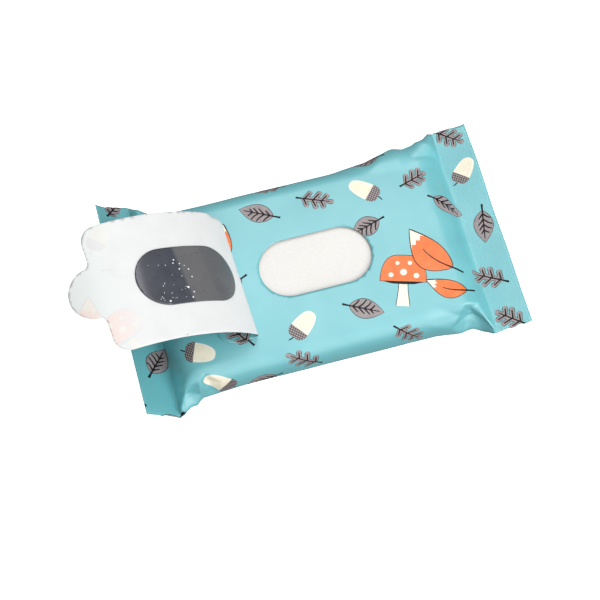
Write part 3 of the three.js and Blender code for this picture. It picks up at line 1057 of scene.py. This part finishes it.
# The larger drops run down the cut-out in a curved trail: along, across and radius.
DROP_TRAIL = [
    (40.9, 5.6, 0.34), (41.6, 4.2, 0.3), (38.9, 3.7, 0.28), (39.7, 1.4, 0.32), (37.0, 2.7, 0.24),
    (35.7, 1.0, 0.34), (35.3, -2.4, 0.3), (38.6, -6.8, 0.5), (36.7, -9.0, 0.32), (38.0, -11.2, 0.36),
    (48.0, -11.6, 0.44),
]


class WIPES_OT_lotion_drops(bpy.types.Operator):
    """Scatters drops of lotion on the cut-out piece of film"""

    bl_idname = "wipes.lotion_drops"
    bl_label = "Lotion drops"

    def execute(self, context):
        dice = random.Random(9)
        specks = [
            (dice.uniform(38, 52), dice.uniform(-11, 5), dice.uniform(0.12, 0.2))
            for _ in range(context.scene.wipes_pack.drop_count)
        ]
        bm = bmesh.new()
        seat_depth = CUTOUT_DEPTH - 0.01
        flattening = Matrix.Diagonal((1, 1, 0.62, 1))
        for along, across, radius in DROP_TRAIL + specks:
            flat = np.array([[along, across]])
            place = label_point(flat, seat_depth)[0]
            outer = label_point(flat, seat_depth - 1)[0]
            normal = Vector(outer - place).normalized()
            turn = normal.to_track_quat("Z", "Y").to_matrix().to_4x4()
            seat = Matrix.Translation(Vector(place)) @ turn @ flattening
            ball = bmesh.ops.create_icosphere(bm, subdivisions=2, radius=radius * MM, matrix=seat)
            for face in {f for v in ball["verts"] for f in v.link_faces}:
                face.smooth = True
        finish_piece("lotion_drops", bm, [clear_lotion()], [])
        return {"FINISHED"}


def z_folded(flat, base):
    """A wipe's flat cloth folded in three across the pack, its middle surface at each point."""
    width = WIPE_HIGH.y - WIPE_LOW.y
    r = (WIPE_HIGH.z - WIPE_LOW.z - LAYER_ROOM) / 4
    run = width - LAYER_ROOM - 2 * r
    arc = math.pi * r
    s = flat[:, 1] + 1.5 * run + arc
    left = (LAYER_ROOM - width) / 2 + r
    first = np.clip(s, 0, run)
    turn_one = np.clip(s - run, 0, arc) / r
    second = np.clip(s - run - arc, 0, run)
    turn_two = np.clip(s - 2 * run - arc, 0, arc) / r
    third = np.clip(s - 2 * run - 2 * arc, 0, None)
    y = left + first + r * np.sin(turn_one) - second - r * np.sin(turn_two) + third
    z = base + LAYER_ROOM / 2 + r * (1 - np.cos(turn_one)) + r * (1 - np.cos(turn_two))
    x = flat[:, 0]
    # Upper wipes lie less flat: they sink towards the pack's long sides and corners.
    level = base / STACK_HIGH.z
    droop = 1.5 * smoothstep(np.abs(y), 10, 36)
    droop += smoothstep(np.abs(x), 38, 54) * smoothstep(np.abs(y), 18, 35)
    swell = (0.25 * waves(x, y, 17, 26, 6) - droop) * level
    return np.stack([x, y, z + swell], -1) * MM


class WIPES_OT_wipes(bpy.types.Operator):
    """Folds the wipes in three and stacks them"""

    bl_idname = "wipes.wipes"
    bl_label = "Wipes"

    def execute(self, context):
        cloth = nonwoven()
        length = WIPE_HIGH.x - WIPE_LOW.x
        width = WIPE_HIGH.y - WIPE_LOW.y
        pitch = NEXT_WIPE_LOW.z - WIPE_LOW.z
        spread = 3 * (width - FOLD_INSET) + FOLD_TURNS
        for i in range(WIPE_COUNT):
            bm = bmesh.new()
            size = Matrix.Diagonal((length / 2, spread / 2, 1, 1))
            bmesh.ops.create_grid(bm, x_segments=40, y_segments=150, size=1, matrix=size)
            for face in bm.faces:
                face.smooth = True
            base = WIPE_LOW.z + i * pitch
            shape_sheet(bm, lambda flat, base=base: z_folded(flat, base))
            name = f"folded_wipe_{i + 1:02d}"
            piece = finish_piece(name, bm, [cloth], [f"wipe_{i + 1:02d}"])
            thicken(piece, CLOTH_THICKNESS * MM, offset=0)
        return {"FINISHED"}


# Round softboxes aimed at the pack: name, place and diameter in metres, and power in watts.
SOFTBOXES = [
    ("overhead_softbox", (0.2, -0.1, 1.05), 0.8, 3.0),
    ("rear_softbox", (0.1, 0.5, 0.95), 0.6, 3.1),
    ("right_softbox", (0.62, -0.55, 0.75), 0.8, 5.0),
    ("front_softbox", (0.2, -0.95, 0.6), 1.2, 6.0),
]
SURROUND = 0.27  # strength of the even light from all around
# The floor's depth under the pack, and half its width in metres.
FLOOR_DEPTH, FLOOR_HALF = 0.2, 3
# The camera's place, the way it looks and its right-hand side.
CAMERA_PLACE = (-75.3, -260.5, 644.3)
CAMERA_FORWARD = (0.0981, 0.3637, -0.9264)
CAMERA_RIGHT = (0.9655, -0.2603, 0)


def softbox(name, place, size, power):
    light = bpy.data.lights.new(name, "AREA")
    light.shape = "DISK"
    light.size = size
    light.energy = power
    lamp = bpy.data.objects.new(name, light)
    lamp.location = place
    lamp.rotation_euler = (-Vector(place)).to_track_quat("-Z", "Y").to_euler()
    bpy.context.scene.collection.objects.link(lamp)


class WIPES_OT_stage(bpy.types.Operator):
    """Sets out the floor, the lights and the camera"""

    bl_idname = "wipes.stage"
    bl_label = "Stage"

    def execute(self, context):
        scene = context.scene
        bm = bmesh.new()
        bmesh.ops.create_grid(bm, x_segments=2, y_segments=2, size=FLOOR_HALF)
        mesh = bpy.data.meshes.new("studio_floor")
        bm.to_mesh(mesh)
        bm.free()
        mesh.transform(Matrix.Translation((0, 0, -FLOOR_DEPTH * MM)))
        floor = bpy.data.objects.new("studio_floor", mesh)
        scene.collection.objects.link(floor)
        mesh.materials.append(studio_paper())
        # The floor stays white without lighting the pack from below.
        floor.visible_diffuse = False
        floor.visible_glossy = False

        world = bpy.data.worlds.new("soft_surround")
        world.use_nodes = True
        background = world.node_tree.nodes["Background"]
        background.inputs["Color"].default_value = (1, 1, 1, 1)
        background.inputs["Strength"].default_value = SURROUND
        scene.world = world
        for box in SOFTBOXES:
            softbox(*box)
        scene.view_settings.view_transform = "Standard"

        lens = bpy.data.cameras.new("product_camera")
        lens.lens = 100
        lens.sensor_width = 36
        lens.clip_start = 0.01
        camera = bpy.data.objects.new("product_camera", lens)
        forward = Vector(CAMERA_FORWARD).normalized()
        right = Vector(CAMERA_RIGHT).normalized()
        turn = Matrix((right, right.cross(forward), -forward)).transposed().to_4x4()
        camera.matrix_world = Matrix.Translation(Vector(CAMERA_PLACE) * MM) @ turn
        scene.collection.objects.link(camera)
        scene.camera = camera
        return {"FINISHED"}


class WIPES_PT_panel(bpy.types.Panel):
    bl_idname = "WIPES_PT_panel"
    bl_label = "Wipes Pack"
    bl_space_type = "VIEW_3D"
    bl_region_type = "UI"
    bl_category = "Wipes Pack"

    def draw(self, context):
        settings = context.scene.wipes_pack
        for key in settings.bl_rna.properties.keys():
            if key not in {"rna_type", "name"}:
                self.layout.prop(settings, key)
        for operator in OPERATORS:
            self.layout.operator(operator.bl_idname)


OPERATORS = (
    WIPES_OT_stage,
    WIPES_OT_film_pouch,
    WIPES_OT_reseal_label,
    WIPES_OT_window_cutout,
    WIPES_OT_lotion_drops,
    WIPES_OT_wipes,
)
CLASSES = (WipesPackSettings, *OPERATORS, WIPES_PT_panel)


def register():
    for cls in CLASSES:
        bpy.utils.register_class(cls)
    bpy.types.Scene.wipes_pack = bpy.props.PointerProperty(type=WipesPackSettings)


def unregister():
    del bpy.types.Scene.wipes_pack
    for cls in reversed(CLASSES):
        bpy.utils.unregister_class(cls)


def main():
    """Builds the whole pack."""
    register()
    bpy.ops.wipes.stage()
    bpy.ops.wipes.film_pouch()
    bpy.ops.wipes.reseal_label()
    bpy.ops.wipes.window_cutout()
    bpy.ops.wipes.lotion_drops()
    bpy.ops.wipes.wipes()


if __name__ == "__main__":
    main()
